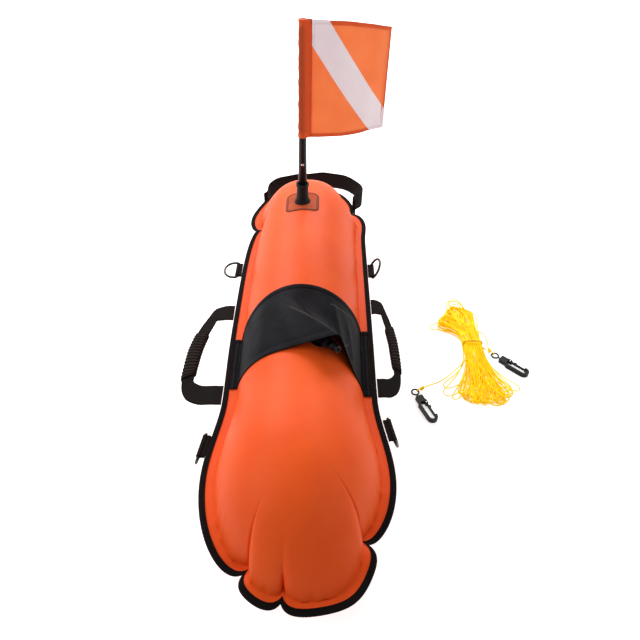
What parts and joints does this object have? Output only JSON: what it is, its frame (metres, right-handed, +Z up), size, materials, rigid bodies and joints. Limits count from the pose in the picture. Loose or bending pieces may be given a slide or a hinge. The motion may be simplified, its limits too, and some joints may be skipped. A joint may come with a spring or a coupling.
{
  "type": "dive flag buoy",
  "caption": "Inflated torpedo-shaped surface float with a flag on a mast, side grips, D-rings, an oral valve and a hanked line with snap hooks.",
  "frame": {"origin": "middle of the base under the float with its straps, rings and flag, on the floor", "axes": "+Y from the nose to the tail along the float, +Z up along the mast, +X to the side the flag flies"},
  "size_m": [0.6183, 1.0216, 0.5393],
  "materials": {
    "orange_fabric": "coated fabric, satin",
    "black_tape": "woven tape",
    "black_fabric": "coated fabric",
    "valve_rubber": "matte",
    "valve_plastic": "satin",
    "patch_film": "smooth film",
    "socket_rubber": "matte",
    "mast_plastic": "satin",
    "bright_metal": "bright",
    "sleeve_fabric": "woven",
    "flag_fabric": "woven",
    "stripe_fabric": "woven",
    "webbing": "woven webbing",
    "ring_metal": "coated",
    "grip_rubber": "ribbed",
    "hook_plastic": "moulded",
    "line_cord": "braided cord"
  },
  "bodies": {
    "float": {"top_panel": "orange_fabric", "bottom_panel": "orange_fabric", "edge_binding": "black_tape", "centre_band": "black_fabric", "valve_foot": "valve_rubber", "valve_stem": "valve_rubber", "mast_patch": "patch_film", "mast_socket": "socket_rubber", "ring_tab_left_far": "webbing", "ring_tab_right_far": "webbing", "ring_tab_left_near": "webbing", "ring_tab_right_near": "webbing", "hook_1_eye": "hook_plastic", "hook_2_eye": "hook_plastic", "line_hank": "line_cord", "hank_tie": "line_cord", "knot_1": "line_cord", "knot_2": "line_cord", "line_lead_1": "line_cord", "line_lead_2": "line_cord"},
    "mast": {"mast_tube": "mast_plastic", "mast_foot_plug": "mast_plastic", "mast_pin": "bright_metal", "mast_cap": "mast_plastic"},
    "flag": {"flag_sleeve": "sleeve_fabric", "flag_field_upper": "flag_fabric", "flag_stripe": "stripe_fabric", "flag_field_lower": "flag_fabric"},
    "valve_lock": {"valve_lock_ring": "valve_plastic"},
    "mouthpiece": {"valve_mouthpiece": "valve_plastic"},
    "left_handle": {"left_handle": "webbing", "left_grip": "grip_rubber"},
    "right_handle": {"right_handle": "webbing", "right_grip": "grip_rubber"},
    "grab_strap": {"grab_strap": "webbing"},
    "d_ring_left_far": {"d_ring_left_far": "ring_metal"},
    "d_ring_right_far": {"d_ring_right_far": "ring_metal"},
    "d_ring_left_near": {"d_ring_left_near": "ring_metal"},
    "d_ring_right_near": {"d_ring_right_near": "ring_metal"},
    "hook_1": {"hook_1_body": "hook_plastic", "hook_1_gate_pin": "bright_metal"},
    "hook_1_gate": {"hook_1_gate": "hook_plastic"},
    "hook_2": {"hook_2_body": "hook_plastic", "hook_2_gate_pin": "bright_metal"},
    "hook_2_gate": {"hook_2_gate": "hook_plastic"}
  },
  "joints": [
    {"name": "mast_pull", "type": "slide", "parent": "float", "child": "mast", "axis": [0.0209, 0, 0.9998], "range_m": [0, 0.034]},
    {"name": "flag_turn", "type": "hinge", "parent": "mast", "child": "flag", "pos_m": [0.00806, 0.24926, 0.20127], "axis": [0.0209, 0, 0.9998], "continuous": true},
    {"name": "lock_ring_turn", "type": "hinge", "parent": "float", "child": "valve_lock", "pos_m": [0.05396, -0.14849, 0.2031], "axis": [0.6464, -0.7575, 0.0909], "range_deg": [0, 270]},
    {"name": "mouthpiece_press", "type": "slide", "parent": "float", "child": "mouthpiece", "axis": [-0.6464, 0.7575, -0.0909], "range_m": [0, 0.003], "stiffness_N_per_m": 400},
    {"name": "d_ring_left_far_swing", "type": "hinge", "parent": "float", "child": "d_ring_left_far", "pos_m": [-0.11981, 0.15276, 0.10106], "axis": [0, 1, 0], "range_deg": [-85, 85]},
    {"name": "d_ring_right_far_swing", "type": "hinge", "parent": "float", "child": "d_ring_right_far", "pos_m": [0.14756, 0.15176, 0.10096], "axis": [0, -1, 0], "range_deg": [-143, 27]},
    {"name": "d_ring_left_near_swing", "type": "hinge", "parent": "float", "child": "d_ring_left_near", "pos_m": [-0.1264, -0.26903, 0.10094], "axis": [0.1354, 0.9908, 0], "range_deg": [-15, 155]},
    {"name": "d_ring_right_near_swing", "type": "hinge", "parent": "float", "child": "d_ring_right_near", "pos_m": [0.15498, -0.23742, 0.10094], "axis": [0.1809, -0.9835, 0], "range_deg": [-15, 155]},
    {"name": "left_handle_swing", "type": "hinge", "parent": "float", "child": "left_handle", "pos_m": [-0.10994, -0.17128, 0.10095], "axis": [-0.0163, 0.9999, 0], "range_deg": [-70, 85]},
    {"name": "right_handle_swing", "type": "hinge", "parent": "float", "child": "right_handle", "pos_m": [0.13977, -0.15425, 0.10095], "axis": [-0.001, -1, 0], "range_deg": [-70, 85]},
    {"name": "grab_strap_swing", "type": "hinge", "parent": "float", "child": "grab_strap", "pos_m": [0.12177, 0.38557, 0.10095], "axis": [0.9911, -0.1333, 0], "range_deg": [-40, 40]},
    {"name": "hook_1_swivel", "type": "hinge", "parent": "float", "child": "hook_1", "pos_m": [0.21856, -0.07924, 0.0043], "axis": [0.3905, -0.9206, 0], "continuous": true},
    {"name": "hook_1_gate_open", "type": "hinge", "parent": "hook_1", "child": "hook_1_gate", "pos_m": [0.23525, -0.10475, 0.0043], "axis": [0, 0, -1], "range_deg": [0, 17], "stiffness_Nm_per_rad": 0.05},
    {"name": "hook_2_swivel", "type": "hinge", "parent": "float", "child": "hook_2", "pos_m": [0.38206, 0.01396, 0.0043], "axis": [0.7256, -0.6881, 0], "continuous": true},
    {"name": "hook_2_gate_open", "type": "hinge", "parent": "hook_2", "child": "hook_2_gate", "pos_m": [0.40755, -0.00277, 0.0043], "axis": [0, 0, -1], "range_deg": [0, 17], "stiffness_Nm_per_rad": 0.05}
  ]
}
